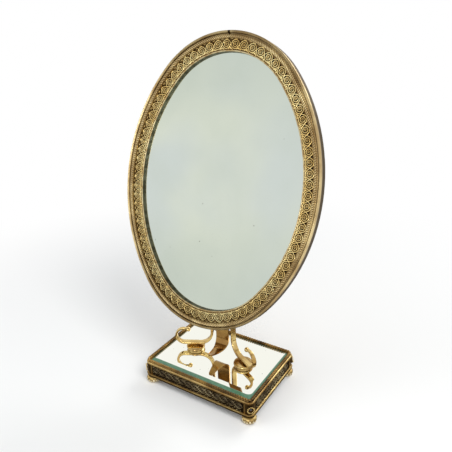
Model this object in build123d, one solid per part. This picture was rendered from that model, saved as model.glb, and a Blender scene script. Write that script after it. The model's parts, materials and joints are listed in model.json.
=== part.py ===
from build123d import *
import math
import os

# Oval tilting table mirror on a three-legged scroll stand and a small mirrored plateau.
# X is to the right seen from the front, Y to the back, Z up. The floor under the middle of the base is the origin.

# Base, from the floor up
BASE_LENGTH = 178.0
BASE_DEPTH = 126.0
BASE_CORNER = 8.0
FOOT_HEIGHT = 12.0
FOOT_DIAMETER = 20.0
FOOT_INSET = 7.8
FOOT_LOBES = 10
SCREW_DIAMETER = 3.0
SCREW_HEAD = 5.6
SCREW_HEAD_HEIGHT = 1.6
SCREW_BITE = 8.0
FLOOR_PLATE = 1.0
MOULDING_HEIGHT = 3.5
MOULDING_PROUD = 0.8
GALLERY_HEIGHT = 16.5
GALLERY_THICKNESS = 1.0
GALLERY_INSET = 1.4
GALLERY_PITCH = 11.5
GALLERY_EYE = 6.6
POST_WIDTH = 12.0
POST_FACE_INSET = 0.8
ROSETTE_DIAMETER = 11.0
ROSETTE_THICKNESS = 1.4
ROSETTE_LEVEL = 0.55
JEWEL_DIAMETER = 3.6
CORE_GAP = 0.8
RIM_LEDGE_HEIGHT = 1.5
RIM_LEDGE_WIDTH = 9.0
RIM_WALL_HEIGHT = 3.2
RIM_WALL_WIDTH = 6.2
RIM_ROUNDING = 1.4
BASE_ROPE_DIAMETER = 5.0
BASE_ROPE_SHARE = 0.28
BASE_GLASS_THICKNESS = 4.0
BASE_GLASS_BEVEL = 12.5
BASE_GLASS_BEVEL_DROP = 2.0
BASE_GLASS_CORNER = 3.0
GLASS_BED_CORNER = 1.0
GLASS_EDGE_CLEARANCE = 0.4

# Stand
BOSS_REACH = 25.5
BOSS_DIAMETER = 27.5
BOSS_HEIGHT = 8.1
STUD_DIAMETER = 4.8
STUD_CLEARANCE = 0.3
NUT_ACROSS_FLATS = 8.0
NUT_HEIGHT = 4.0
WASHER_DIAMETER = 12.0
WASHER_THICKNESS = 1.0
NUT_POCKET_DEPTH = 8.0
STEM_LINE = 10.0
LEG_SPREAD = 36.6
LEG_SPLAY = 27.0
LEG_WIDTH = 7.8
LEG_THICKNESS = 4.0
LEG_TIP_WIDTH = 4.4
LEG_TIP_THICKNESS = 2.8
LEG_TOP = 126.0
LEG_HEEL_RADIUS = 19.5
LEG_TOE = 42.0
LEG_CURL_RADIUS = 11.8
LEG_CURL_HOOK = 18.0
SCROLL_BALL_DIAMETER = 6.8
BALL_FLAT = 0.4
STRAP_WIDTH = 21.0
STRAP_THICKNESS = 2.4
STRAP_HEEL_HEIGHT = 13.0
STRAP_HEEL_RADIUS = 14.0
STRAP_HEEL_WIDTH = 14.5
STRAP_TOE_REACH = 22.5
STRAP_TOE_RADIUS = 60.0
STRAP_TIP_WIDTH = 6.4
COLLAR_BOTTOM = 106.0
COLLAR_HEIGHT = 14.0
COLLAR_LENGTH = 50.0
COLLAR_DEPTH = 13.0
RIVET_DIAMETER = 3.0
RIVET_HEAD = 5.0
RIVET_HEAD_HEIGHT = 1.3

# Hinge behind the mirror
PIVOT_HEIGHT = 251.1
EYE_DIAMETER = 11.0
BOLT_DIAMETER = 5.0
BOLT_FIT = 0.05
WASHER_FIT = 0.1
FRICTION_WASHER_DIAMETER = 10.0
FRICTION_WASHER_THICKNESS = 0.6
EAR_THICKNESS = 2.5
BRACKET_WIDTH = 44.0
BRACKET_HEIGHT = 36.0
BRACKET_PLATE = 2.0
EYE_CLEARANCE = 1.6
BOLT_HEAD_DIAMETER = 9.0
BOLT_HEAD_HEIGHT = 3.0
BOLT_SPARE = 2.5
THUMB_NUT_DIAMETER = 13.0
THUMB_NUT_HEIGHT = 8.0
THUMB_NUT_NECK = 2.0
THUMB_NUT_FLUTES = 12

# Mirror head, drawn flat: width along X, height along Y, front along Z
HEAD_WIDTH = 288.4
HEAD_HEIGHT = 378.0
HEAD_END_RADIUS = 119.0
HEAD_TILT = 15.0
HEAD_RISE = 41.8
RIM_SHEET = 1.6
BEAD_RADIUS = 2.0
BEAD_WALL_INSET = 0.8
GROOVE_WIDTH = 0.8
SEAT_DROP = 2.4
GROOVE_BELOW_SEAT = 1.0
SEAT_MARGIN = 0.2
ROPE_WIDTH = 4.4
ROPE_HEIGHT = 2.0
ROPE_SIDE = 0.3
FILIGREE_WIDTH = 12.9
FILIGREE_THICKNESS = 1.0
FILIGREE_DROP = 6.0
FLANGE_WIDTH = 1.2
FLANGE_THICKNESS = 1.0
MOTIF_COUNT = 76
MOTIF_EYE_RADIUS = 4.3
MOTIF_BAR = 1.5
MOTIF_GAP_INSET = 1.3
MOTIF_GAP_WIDTH = 4.4
MOTIF_GAP_DEPTH = 3.4
BEZEL_WIDTH = 1.9
BEZEL_RISE = 0.5
BEZEL_HEIGHT = 4.8
GLASS_THICKNESS = 2.0
GLASS_OVERLAP = 4.0
BOARD_THICKNESS = 0.8
BACK_SHEET = 0.8
BACK_PANEL_HEIGHT = 1.2
BACK_PANEL_MARGIN = 22.0
BACK_CLEARANCE = 0.2
SEAM_WIDTH = 0.8
TAB_COUNT = 12
TAB_WIDTH = 8.0
TAB_LENGTH = 6.0
TAB_THICKNESS = 0.6

# Levels of the base
Z_MOULDING = FOOT_HEIGHT
Z_GALLERY = Z_MOULDING + MOULDING_HEIGHT
Z_RIM = Z_GALLERY + GALLERY_HEIGHT
Z_GLASS = Z_RIM + RIM_LEDGE_HEIGHT
Z_TOP = Z_GLASS + BASE_GLASS_THICKNESS
Z_LEG = Z_TOP + BOSS_HEIGHT
Z_LEG_LINE = Z_LEG + LEG_THICKNESS / 2

# Depths of the mirror head, with the crest of its outer bead at zero
N_SEAT = -SEAT_DROP
N_GROOVE = N_SEAT - GROOVE_BELOW_SEAT
N_FILIGREE = -FILIGREE_DROP
N_FLANGE = N_FILIGREE - FILIGREE_THICKNESS
N_LIP = N_FILIGREE + BEZEL_RISE
N_GLASS = N_LIP - BEZEL_HEIGHT
N_BOARD = N_GLASS - GLASS_THICKNESS
N_SHEET = N_BOARD - BOARD_THICKNESS
N_BACK = N_SHEET - BACK_SHEET
N_PANEL = N_BACK - BACK_PANEL_HEIGHT
N_BRACKET = N_PANEL - BRACKET_PLATE
N_PIVOT = N_BRACKET - EYE_CLEARANCE - EYE_DIAMETER / 2

# Insets of the mirror head from its outer edge
O_GROOVE = 2 * BEAD_RADIUS
O_SEAT = O_GROOVE + GROOVE_WIDTH
O_ROPE = O_SEAT + SEAT_MARGIN
O_FILIGREE = O_ROPE + ROPE_WIDTH + SEAT_MARGIN
O_BEZEL = O_FILIGREE + FILIGREE_WIDTH
O_LIP = O_BEZEL + BEZEL_WIDTH
O_GLASS = O_LIP - GLASS_OVERLAP
O_BACK = BEAD_WALL_INSET + RIM_SHEET + BACK_CLEARANCE

# The oval is four arcs: two of the end radius and two of the side radius, tangent where they meet
HALF_W = HEAD_WIDTH / 2
HALF_H = HEAD_HEIGHT / 2
END_OFFSET = HALF_H - HEAD_END_RADIUS
SIDE_RADIUS = (HALF_W**2 + END_OFFSET**2 - HEAD_END_RADIUS**2) / (2 * (HALF_W - HEAD_END_RADIUS))
SIDE_OFFSET = SIDE_RADIUS - HALF_W
JOIN_ANGLE = math.degrees(math.atan2(END_OFFSET, SIDE_OFFSET))

# The pivot lies on the stem's line, HEAD_RISE below the middle of the head measured along the glass
PIVOT = Vector(0, STEM_LINE, PIVOT_HEIGHT)
HEAD_PLACE = Location(PIVOT, (90 - HEAD_TILT, 0, 0)) * Location((0, HEAD_RISE, -N_PIVOT))

# Half widths of the hinge, from the strap's eye outwards
EAR_INSIDE = STRAP_WIDTH / 2 + FRICTION_WASHER_THICKNESS + WASHER_FIT
EAR_OUTSIDE = EAR_INSIDE + EAR_THICKNESS
BORE_RADIUS = BOLT_DIAMETER / 2 + BOLT_FIT
STUD_HOLE = STUD_DIAMETER / 2 + STUD_CLEARANCE
CORE_INSET = GALLERY_INSET + GALLERY_THICKNESS + CORE_GAP
Z_CORE = Z_MOULDING + FLOOR_PLATE
Z_NUT_SEAT = Z_CORE + NUT_POCKET_DEPTH
SIDES = {"left": -1, "right": 1}


def base_outline(inset, corner=None):
    """The flat outline of the base drawn in by inset."""
    radius = BASE_CORNER - inset if corner is None else corner
    return RectangleRounded(BASE_LENGTH - 2 * inset, BASE_DEPTH - 2 * inset, radius)


def base_plate(inset, bottom, height, corner=None):
    return extrude(Plane.XY.offset(bottom) * base_outline(inset, corner), height)


def base_ring(outer_inset, inner_inset, bottom, height, inner_corner=None):
    inner = base_plate(inner_inset, bottom, height, inner_corner)
    return base_plate(outer_inset, bottom, height) - inner


def drill(radius, points, bottom, top):
    """Upright cylinders at the given points, to be cut from a piece."""
    return Part() + [Pos(x, y, bottom) * extrude(Circle(radius), top - bottom) for x, y in points]


def corner_points(inset):
    x = BASE_LENGTH / 2 - inset
    y = BASE_DEPTH / 2 - inset
    return {"front_left": (-x, -y), "front_right": (x, -y), "rear_left": (-x, y), "rear_right": (x, y)}


def foot_points():
    return corner_points(FOOT_INSET).values()


def top_outer_edges(ring):
    """The outer edges of the highest flat face of a ring."""
    return ring.faces().sort_by(Axis.Z)[-1].outer_wire().edges()


# Base


def foot(x, y):
    """A low turned foot, lobed round its belly and counterbored from below for its screw."""
    radius = FOOT_DIAMETER / 2
    bore = SCREW_DIAMETER / 2
    recess = SCREW_HEAD / 2 + STUD_CLEARANCE
    shoulder = 2 * SCREW_HEAD_HEIGHT
    belly = FOOT_HEIGHT * 0.55
    with BuildSketch(Plane.XZ) as section:
        with BuildLine():
            Polyline((bore, FOOT_HEIGHT), (bore, shoulder), (recess, shoulder), (recess, 0), (radius * 0.48, 0))
            ThreePointArc((radius * 0.48, 0), (radius * 0.88, belly * 0.4), (radius, belly))
            ThreePointArc((radius, belly), (radius * 0.88, belly * 1.36), (radius * 0.62, belly * 1.5))
            Polyline((radius * 0.62, belly * 1.5), (radius * 0.7, FOOT_HEIGHT), (bore, FOOT_HEIGHT))
        make_face()
    body = revolve(section.sketch, Axis.Z)
    flute = Pos(radius + 0.5, 0, 0) * extrude(Circle(1.5), FOOT_HEIGHT)
    for step in range(FOOT_LOBES):
        body -= Rot(0, 0, (step + 0.5) * 360 / FOOT_LOBES) * flute
    return Pos(x, y, 0) * body


def foot_screws():
    """One screw through each foot and the floor plate into the core."""
    seat = 2 * SCREW_HEAD_HEIGHT
    shank = Pos(0, 0, seat) * extrude(Circle(SCREW_DIAMETER / 2 - BOLT_FIT), Z_CORE + SCREW_BITE - seat)
    head = Pos(0, 0, seat) * extrude(Circle(SCREW_HEAD / 2), -SCREW_HEAD_HEIGHT)
    slot = Pos(0, 0, seat - SCREW_HEAD_HEIGHT) * Box(SCREW_HEAD, 0.8, 1.0)
    screw = shank + head - slot
    return Compound(children=[Pos(x, y, 0) * screw for x, y in foot_points()])


def base_floor_plate():
    return base_plate(CORE_INSET, Z_MOULDING, FLOOR_PLATE) - drill(SCREW_DIAMETER / 2, foot_points(), Z_MOULDING, Z_CORE)


def base_core():
    """The wooden block that everything is fixed to, with pockets from below for the nuts of the stand."""
    block = base_plate(CORE_INSET, Z_CORE, Z_RIM - Z_CORE)
    block -= drill(STUD_HOLE, stud_points(), Z_CORE, Z_RIM)
    block -= drill(WASHER_DIAMETER / 2 + STUD_CLEARANCE, stud_points(), Z_CORE, Z_NUT_SEAT)
    return block - drill(SCREW_DIAMETER / 2, foot_points(), Z_CORE, Z_CORE + SCREW_BITE)


def base_bottom_moulding():
    """The rounded strip along the foot of the gallery."""
    ring = base_ring(-MOULDING_PROUD, CORE_INSET, Z_MOULDING, MOULDING_HEIGHT)
    return fillet(top_outer_edges(ring), MOULDING_HEIGHT * 0.5)


def gallery_panel(length):
    """A strip of the gallery standing in the XZ plane, pierced with a row of eyes."""
    strip = Pos(0, 0, GALLERY_HEIGHT / 2) * Box(length, GALLERY_THICKNESS, GALLERY_HEIGHT)
    count = int(length // GALLERY_PITCH)
    spacing = length / count
    eye = Rot(90, 0, 0) * Cylinder(GALLERY_EYE / 2, GALLERY_THICKNESS)
    eyes = [Pos((i - (count - 1) / 2) * spacing, 0, GALLERY_HEIGHT / 2) * eye for i in range(count)]
    return strip - eyes


def gallery_panels():
    """The four strips by name, each in its place between two corner posts."""
    middle = GALLERY_INSET + GALLERY_THICKNESS / 2
    long_strip = gallery_panel(BASE_LENGTH - 2 * POST_WIDTH)
    short_strip = gallery_panel(BASE_DEPTH - 2 * POST_WIDTH)
    x = BASE_LENGTH / 2 - middle
    y = BASE_DEPTH / 2 - middle
    return {
        "gallery_front": Pos(0, -y, Z_GALLERY) * long_strip,
        "gallery_rear": Pos(0, y, Z_GALLERY) * Rot(0, 0, 180) * long_strip,
        "gallery_left": Pos(-x, 0, Z_GALLERY) * Rot(0, 0, 270) * short_strip,
        "gallery_right": Pos(x, 0, Z_GALLERY) * Rot(0, 0, 90) * short_strip,
    }


def corner_post(name):
    """The bent plate that closes a corner between two strips of the gallery."""
    x, y = corner_points(POST_WIDTH / 2)[name]
    ring = base_ring(POST_FACE_INSET, GALLERY_INSET + GALLERY_THICKNESS, Z_GALLERY, GALLERY_HEIGHT)
    return ring & Pos(x, y, Z_GALLERY + GALLERY_HEIGHT / 2) * Box(POST_WIDTH, POST_WIDTH, GALLERY_HEIGHT)


def corner_frame(name):
    """Where the rosette of a corner sits: on the post's bend, facing out at 45 degrees."""
    x, y = corner_points(BASE_CORNER)[name]
    out = Vector(math.copysign(1, x), math.copysign(1, y), 0).normalized()
    origin = Vector(x, y, Z_GALLERY + GALLERY_HEIGHT * ROSETTE_LEVEL) + out * (BASE_CORNER - POST_FACE_INSET)
    return Plane(origin=origin, x_dir=(-out.Y, out.X, 0), z_dir=out)


def corner_rosette(name):
    """A round flower with six petals, its back hollowed to the bend of the post."""
    plane = corner_frame(name)
    x, y = corner_points(BASE_CORNER)[name]
    radius = ROSETTE_DIAMETER / 2
    disc = extrude(plane * Circle(radius * 0.72), ROSETTE_THICKNESS)
    for step in range(6):
        petal = Rot(0, 0, step * 60) * Pos(radius * 0.66, 0, 0) * Circle(radius * 0.34)
        disc += extrude(plane * petal, ROSETTE_THICKNESS)
    skirt = extrude(plane * Circle(radius * 0.6), -ROSETTE_THICKNESS)
    bend = Pos(x, y, Z_GALLERY) * extrude(Circle(BASE_CORNER - POST_FACE_INSET), GALLERY_HEIGHT)
    socket = extrude(plane.offset(ROSETTE_THICKNESS * 0.4) * Circle(JEWEL_DIAMETER / 2), ROSETTE_THICKNESS)
    return disc + skirt - bend - socket


def corner_jewel(name):
    """The half ball set in the middle of a rosette."""
    plane = corner_frame(name).offset(ROSETTE_THICKNESS * 0.4)
    ball = Sphere(JEWEL_DIAMETER / 2 - BOLT_FIT)
    return (plane * ball) & extrude(plane * Circle(JEWEL_DIAMETER), JEWEL_DIAMETER)


def base_rope_tube(radius):
    """A round tube that follows the outline of the base over the middle of the rim's wall."""
    level = Z_RIM + RIM_WALL_HEIGHT + BASE_ROPE_DIAMETER * BASE_ROPE_SHARE
    path = (Plane.XY.offset(level) * base_outline(RIM_WALL_WIDTH / 2 + BOLT_FIT)).wire()
    start = Plane(origin=path @ 0, z_dir=path % 0)
    return sweep(start * Circle(radius), path=path)


def base_top_rim():
    """The frame that holds the glass: a flat ledge and a low wall with a channel for the rope."""
    ledge = base_ring(0.0, RIM_LEDGE_WIDTH, Z_RIM, RIM_LEDGE_HEIGHT, GLASS_BED_CORNER)
    wall = base_ring(0.0, RIM_WALL_WIDTH, Z_RIM, RIM_WALL_HEIGHT)
    rim = ledge + wall
    return fillet(top_outer_edges(rim), RIM_ROUNDING) - base_rope_tube(BASE_ROPE_DIAMETER / 2 + BOLT_FIT)


def base_glass():
    """Bevelled plate glass, silvered underneath, with two holes for the studs of the stand."""
    inset = RIM_WALL_WIDTH + GLASS_EDGE_CLEARANCE
    edge_height = BASE_GLASS_THICKNESS - BASE_GLASS_BEVEL_DROP
    outline = base_outline(inset, BASE_GLASS_CORNER)
    field = base_outline(inset + BASE_GLASS_BEVEL, BASE_GLASS_CORNER / 3)
    plate = base_plate(inset, Z_GLASS, edge_height, BASE_GLASS_CORNER)
    crown = loft([Plane.XY.offset(Z_GLASS + edge_height) * outline, Plane.XY.offset(Z_TOP) * field], ruled=True)
    return plate + crown - drill(STUD_HOLE, stud_points(), Z_GLASS, Z_TOP)


def glass_bed():
    """The felt that fills the frame under the glass."""
    bed = base_plate(RIM_LEDGE_WIDTH + WASHER_FIT, Z_RIM, RIM_LEDGE_HEIGHT, GLASS_BED_CORNER)
    return bed - drill(STUD_HOLE, stud_points(), Z_RIM, Z_GLASS)


# Stand


def leg_plane(side):
    """The upright plane of a leg: its X runs outwards along the leg and its Y runs up."""
    angle = math.radians(LEG_SPLAY)
    out = Vector(side * math.cos(angle), -math.sin(angle), 0)
    origin = Vector(side * LEG_SPREAD / 2, STEM_LINE, 0)
    return Plane(origin=origin, x_dir=out, z_dir=out.cross(Vector(0, 0, 1)))


def stud_points():
    """Where the studs stand, under the toe of each leg."""
    points = [leg_plane(side).from_local_coords((BOSS_REACH, 0, 0)) for side in SIDES.values()]
    return [(point.X, point.Y) for point in points]


def boss(side):
    """A turned bun under a leg: a low plinth, a groove, the round and a small neck, bored for the stud."""
    radius = BOSS_DIAMETER / 2
    bore = STUD_DIAMETER / 2 + BOLT_FIT
    plinth = BOSS_HEIGHT * 0.2
    groove = BOSS_HEIGHT * 0.27
    round_top = BOSS_HEIGHT * 0.72
    with BuildSketch(Plane.XZ) as section:
        with BuildLine():
            Polyline((bore, 0), (radius * 0.88, 0), (radius * 0.88, plinth), (radius * 0.82, groove))
            ThreePointArc((radius * 0.82, groove), (radius, (groove + round_top) / 2), (radius * 0.86, round_top))
            Line((radius * 0.86, round_top), (radius * 0.34, round_top + 0.4))
            Polyline((radius * 0.34, round_top + 0.4), (radius * 0.34, BOSS_HEIGHT), (bore, BOSS_HEIGHT), (bore, 0))
        make_face()
    x, y = stud_points()[list(SIDES.values()).index(side)]
    return Pos(x, y, Z_TOP) * revolve(section.sketch, Axis.Z)


def leg_studs():
    """The threaded studs that hang from the legs and pass through boss, glass and core."""
    bottom = Z_CORE + 1.0
    rod = extrude(Circle(STUD_DIAMETER / 2), Z_LEG - bottom)
    return Compound(children=[Pos(x, y, bottom) * rod for x, y in stud_points()])


def leg_washers():
    ring = Circle(WASHER_DIAMETER / 2) - Circle(STUD_DIAMETER / 2 + BOLT_FIT)
    washer = extrude(ring, -WASHER_THICKNESS)
    return Compound(children=[Pos(x, y, Z_NUT_SEAT) * washer for x, y in stud_points()])


def leg_nuts():
    hexagon = RegularPolygon(NUT_ACROSS_FLATS / 2, 6, major_radius=False)
    nut = extrude(hexagon - Circle(STUD_DIAMETER / 2 + BOLT_FIT), -NUT_HEIGHT)
    return Compound(children=[Pos(x, y, Z_NUT_SEAT - WASHER_THICKNESS) * nut for x, y in stud_points()])


def leg_section(width, thickness):
    """A flat bar with eased edges, drawn across the leg."""
    return RectangleRounded(thickness, width, thickness * 0.32)


def curl_path(side):
    """The line of the curl, from the end of the toe round and over to the ball."""
    with BuildLine(leg_plane(side)) as line:
        CenterArc((LEG_TOE, Z_LEG_LINE + LEG_CURL_RADIUS), LEG_CURL_RADIUS, 270, 180 + LEG_CURL_HOOK)
    return line.wire()


def scroll_leg(side):
    """One leg: an upright bar, a round heel, a level toe and a curl that grows slimmer to its tip."""
    plane = leg_plane(side)
    heel = LEG_HEEL_RADIUS
    bar = leg_section(LEG_WIDTH, LEG_THICKNESS)
    with BuildLine(plane) as line:
        CenterArc((heel, Z_LEG_LINE + heel), heel, 180, 90)
        Line((heel, Z_LEG_LINE), (LEG_TOE, Z_LEG_LINE))
    bend = line.wire()
    foot_of_upright = Plane(origin=bend @ 0, x_dir=plane.x_dir, z_dir=(0, 0, 1))
    upright = extrude(foot_of_upright * bar, LEG_TOP - Z_LEG_LINE - heel)
    lower = sweep(foot_of_upright * bar, path=bend)
    curl = curl_path(side)
    ends = [(0.0, LEG_WIDTH, LEG_THICKNESS), (1.0, LEG_TIP_WIDTH, LEG_TIP_THICKNESS)]
    sections = []
    for share, width, thickness in ends:
        tangent = curl % share
        across = Plane(origin=curl @ share, x_dir=plane.z_dir.cross(tangent), z_dir=tangent)
        sections.append(across * leg_section(width, thickness))
    return upright + lower + sweep(sections, path=curl, multisection=True)


def scroll_ball(side):
    """The ball that ends a curl, flattened where it sits on the bar."""
    curl = curl_path(side)
    radius = SCROLL_BALL_DIAMETER / 2
    tip = Plane(origin=curl @ 1, z_dir=curl % 1)
    ball = tip.offset(radius - BALL_FLAT) * Sphere(radius)
    return ball & extrude(tip * Circle(radius), 2 * radius)


def strap_line():
    """The strap from the side, from under the pivot down, round the heel and out to the tip of the tongue."""
    heel_line = Z_TOP + STRAP_HEEL_HEIGHT
    heel = STRAP_HEEL_RADIUS
    rise = math.degrees(math.asin(STRAP_TOE_REACH / STRAP_TOE_RADIUS))
    with BuildLine() as line:
        Line((STEM_LINE, PIVOT_HEIGHT - EYE_DIAMETER / 2 + STRAP_THICKNESS / 2), (STEM_LINE, heel_line + heel))
        CenterArc((STEM_LINE - heel, heel_line + heel), heel, 0, -90)
        CenterArc((STEM_LINE - heel, heel_line + STRAP_TOE_RADIUS), STRAP_TOE_RADIUS, 270, -rise)
    return line.line


def strap_outline():
    """The strap from above: full width at the stem, narrowing along the tongue to a round tip."""
    heel_end = STEM_LINE - STRAP_HEEL_RADIUS
    stem_face = STEM_LINE - STRAP_THICKNESS / 2
    back = STEM_LINE + EYE_DIAMETER
    tip = STRAP_TIP_WIDTH / 2
    toe = heel_end - STRAP_TOE_REACH
    half = STRAP_WIDTH / 2
    heel_half = STRAP_HEEL_WIDTH / 2
    with BuildSketch() as outline:
        with BuildLine():
            Polyline((tip, toe + tip), (heel_half, heel_end), (half, stem_face), (half, back))
            Polyline((half, back), (-half, back), (-half, stem_face), (-heel_half, heel_end), (-tip, toe + tip))
            ThreePointArc((-tip, toe + tip), (0, toe), (tip, toe + tip))
        make_face()
    return outline.sketch


def centre_strap():
    """The wide strap: an eye at the top for the hinge bolt, a straight stem and a tongue that curls forward."""
    from_left = Plane(origin=(-STRAP_WIDTH / 2, 0, 0), x_dir=(0, 1, 0), z_dir=(1, 0, 0))
    ribbon = extrude(from_left * trace(strap_line(), STRAP_THICKNESS), STRAP_WIDTH)
    ribbon &= extrude(strap_outline(), PIVOT_HEIGHT)
    eye_place = Pos(0, STEM_LINE, PIVOT_HEIGHT) * Rot(0, 90, 0)
    eye = eye_place * Cylinder(EYE_DIAMETER / 2, STRAP_WIDTH)
    bore = eye_place * Cylinder(BORE_RADIUS, STRAP_WIDTH)
    return ribbon + eye - bore - collar_rivet_holes()


def collar_rivet_holes():
    hole = Rot(90, 0, 0) * Cylinder(RIVET_DIAMETER / 2 + BOLT_FIT, COLLAR_DEPTH)
    return Part() + [Pos(*point) * hole for point in collar_rivet_points()]


def collar_rivet_points():
    level = COLLAR_BOTTOM + COLLAR_HEIGHT / 2
    return [(x, STEM_LINE, level) for x in (-STRAP_WIDTH / 4, STRAP_WIDTH / 4)]


def stem_collar():
    """The cast collar that clasps the strap and the tops of both legs behind the mirror."""
    place = Pos(0, STEM_LINE, COLLAR_BOTTOM + COLLAR_HEIGHT / 2)
    block = place * Box(COLLAR_LENGTH, COLLAR_DEPTH, COLLAR_HEIGHT)
    block = fillet(block.edges().filter_by(Axis.Z), COLLAR_DEPTH / 4)
    block -= place * Box(STRAP_WIDTH + 2 * BOLT_FIT, STRAP_THICKNESS + 2 * BOLT_FIT, COLLAR_HEIGHT)
    for side in SIDES.values():
        plane = leg_plane(side)
        mouth = Plane(origin=plane.origin + Vector(0, 0, COLLAR_BOTTOM), x_dir=plane.x_dir, z_dir=(0, 0, 1))
        slot = Rectangle(LEG_THICKNESS + 2 * BOLT_FIT, LEG_WIDTH + 2 * BOLT_FIT)
        block -= extrude(mouth * slot, COLLAR_HEIGHT)
    return block - collar_rivet_holes()


def domed_head():
    """A rivet's domed head standing on the XY plane."""
    head = extrude(Circle(RIVET_HEAD / 2), RIVET_HEAD_HEIGHT)
    return fillet(head.edges().sort_by(Axis.Z)[-1], RIVET_HEAD_HEIGHT * 0.7)


def collar_rivets():
    """Two rivets through the collar and the strap, domed at both ends."""
    head = Pos(0, 0, COLLAR_DEPTH / 2) * domed_head()
    rivet = Cylinder(RIVET_DIAMETER / 2, COLLAR_DEPTH) + head + Rot(180, 0, 0) * head
    return Compound(children=[Pos(*point) * Rot(90, 0, 0) * rivet for point in collar_rivet_points()])


# Mirror head, drawn flat


def oval_face(inset):
    """The face inside the oval of the mirror head drawn in by inset."""
    side = SIDE_RADIUS - inset
    end = HEAD_END_RADIUS - inset
    turn = 180 - 2 * JOIN_ANGLE
    with BuildSketch() as sketch:
        with BuildLine():
            CenterArc((-SIDE_OFFSET, 0), side, -JOIN_ANGLE, 2 * JOIN_ANGLE)
            CenterArc((0, END_OFFSET), end, JOIN_ANGLE, turn)
            CenterArc((SIDE_OFFSET, 0), side, 180 - JOIN_ANGLE, 2 * JOIN_ANGLE)
            CenterArc((0, -END_OFFSET), end, 180 + JOIN_ANGLE, turn)
        make_face()
    return sketch.sketch


def oval_plate(inset, back, thickness):
    return extrude(Plane.XY.offset(back) * oval_face(inset), thickness)


def oval_ring(section):
    """A section, drawn with X as minus the inset and Z as the depth, carried round the oval."""
    turn = 180 - 2 * JOIN_ANGLE
    side = revolve(Pos(SIDE_RADIUS, 0, 0) * section, Axis.Z, 2 * JOIN_ANGLE)
    end = revolve(Pos(HEAD_END_RADIUS, 0, 0) * section, Axis.Z, turn)
    right = Pos(-SIDE_OFFSET, 0, 0) * Rot(0, 0, -JOIN_ANGLE) * side
    left = Pos(SIDE_OFFSET, 0, 0) * Rot(0, 0, 180 - JOIN_ANGLE) * side
    top = Pos(0, END_OFFSET, 0) * Rot(0, 0, JOIN_ANGLE) * end
    bottom = Pos(0, -END_OFFSET, 0) * Rot(0, 0, 180 + JOIN_ANGLE) * end
    return right + top + left + bottom


def oval_runs(inset):
    """The arcs of the oval in order from the middle of its right side: length, centre, radius, first angle."""
    side = SIDE_RADIUS - inset
    end = HEAD_END_RADIUS - inset
    half_side = math.radians(JOIN_ANGLE) * side
    end_length = math.radians(180 - 2 * JOIN_ANGLE) * end
    return [
        (half_side, (-SIDE_OFFSET, 0), side, 0.0),
        (end_length, (0, END_OFFSET), end, JOIN_ANGLE),
        (2 * half_side, (SIDE_OFFSET, 0), side, 180 - JOIN_ANGLE),
        (end_length, (0, -END_OFFSET), end, 180 + JOIN_ANGLE),
        (half_side, (-SIDE_OFFSET, 0), side, 360 - JOIN_ANGLE),
    ]


def oval_length(inset):
    return sum(length for length, centre, radius, start in oval_runs(inset))


def oval_place(inset, travel):
    """The place at a distance travelled round the oval: X points outwards and Y along it."""
    for length, centre, radius, start in oval_runs(inset):
        if travel <= length:
            break
        travel -= length
    angle = start + math.degrees(travel / radius)
    return Pos(*centre) * Rot(0, 0, angle) * Pos(radius, 0)


def rim_frame():
    """The outer frame: a deep channel with a round bead, a groove and a seat for the rope."""
    wall = -BEAD_WALL_INSET
    shoulder = -BEAD_RADIUS * 1.7
    inside = wall - RIM_SHEET
    flange_back = N_FLANGE - FLANGE_THICKNESS
    with BuildSketch(Plane.XZ) as section:
        with BuildLine():
            Polyline((inside, N_BACK), (wall, N_BACK), (wall, shoulder))
            ThreePointArc((wall, shoulder), (-BEAD_RADIUS * 0.35, -BEAD_RADIUS * 0.6), (-BEAD_RADIUS, 0))
            ThreePointArc((-BEAD_RADIUS, 0), (-BEAD_RADIUS * 1.8, -BEAD_RADIUS * 0.7), (-O_GROOVE, N_GROOVE))
            Polyline((-O_GROOVE, N_GROOVE), (-O_SEAT, N_GROOVE), (-O_SEAT, N_SEAT), (-O_FILIGREE, N_SEAT))
            Polyline((-O_FILIGREE, N_SEAT), (-O_FILIGREE, N_FLANGE), (-O_FILIGREE - FLANGE_WIDTH, N_FLANGE))
            Polyline((-O_FILIGREE - FLANGE_WIDTH, N_FLANGE), (-O_FILIGREE - FLANGE_WIDTH, flange_back))
            Polyline((-O_FILIGREE - FLANGE_WIDTH, flange_back), (inside, flange_back), (inside, N_BACK))
        make_face()
    seam = Pos(0, HALF_H - O_GROOVE / 2, 0) * Box(SEAM_WIDTH, O_GROOVE, BEAD_RADIUS)
    return oval_ring(section.sketch) - seam


def rope_ring():
    """The half-round rope that lies in the frame's seat, with short straight sides."""
    outer = -O_ROPE
    inner = -O_ROPE - ROPE_WIDTH
    shoulder = N_SEAT + ROPE_SIDE
    with BuildSketch(Plane.XZ) as section:
        with BuildLine():
            Polyline((outer, shoulder), (outer, N_SEAT), (inner, N_SEAT), (inner, shoulder))
            ThreePointArc((inner, shoulder), ((inner + outer) / 2, N_SEAT + ROPE_HEIGHT), (outer, shoulder))
        make_face()
    return oval_ring(section.sketch)


def motif_holes(pitch):
    """The openings of one repeat: the two halves of a ring round its flower, and the gaps at each crossing."""
    eye = Circle(MOTIF_EYE_RADIUS)
    flower = Circle(MOTIF_EYE_RADIUS / 2)
    holes = [eye - flower - Rectangle(2 * MOTIF_EYE_RADIUS, MOTIF_BAR)]
    edge = FILIGREE_WIDTH / 2 - MOTIF_GAP_INSET
    for sign in (-1, 1):
        tip = (sign * (edge - MOTIF_GAP_DEPTH), pitch / 2)
        first = (sign * edge, (pitch - MOTIF_GAP_WIDTH) / 2)
        second = (sign * edge, (pitch + MOTIF_GAP_WIDTH) / 2)
        holes.append(make_face(Polyline(tip, first, second, close=True)))
    return holes


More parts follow.
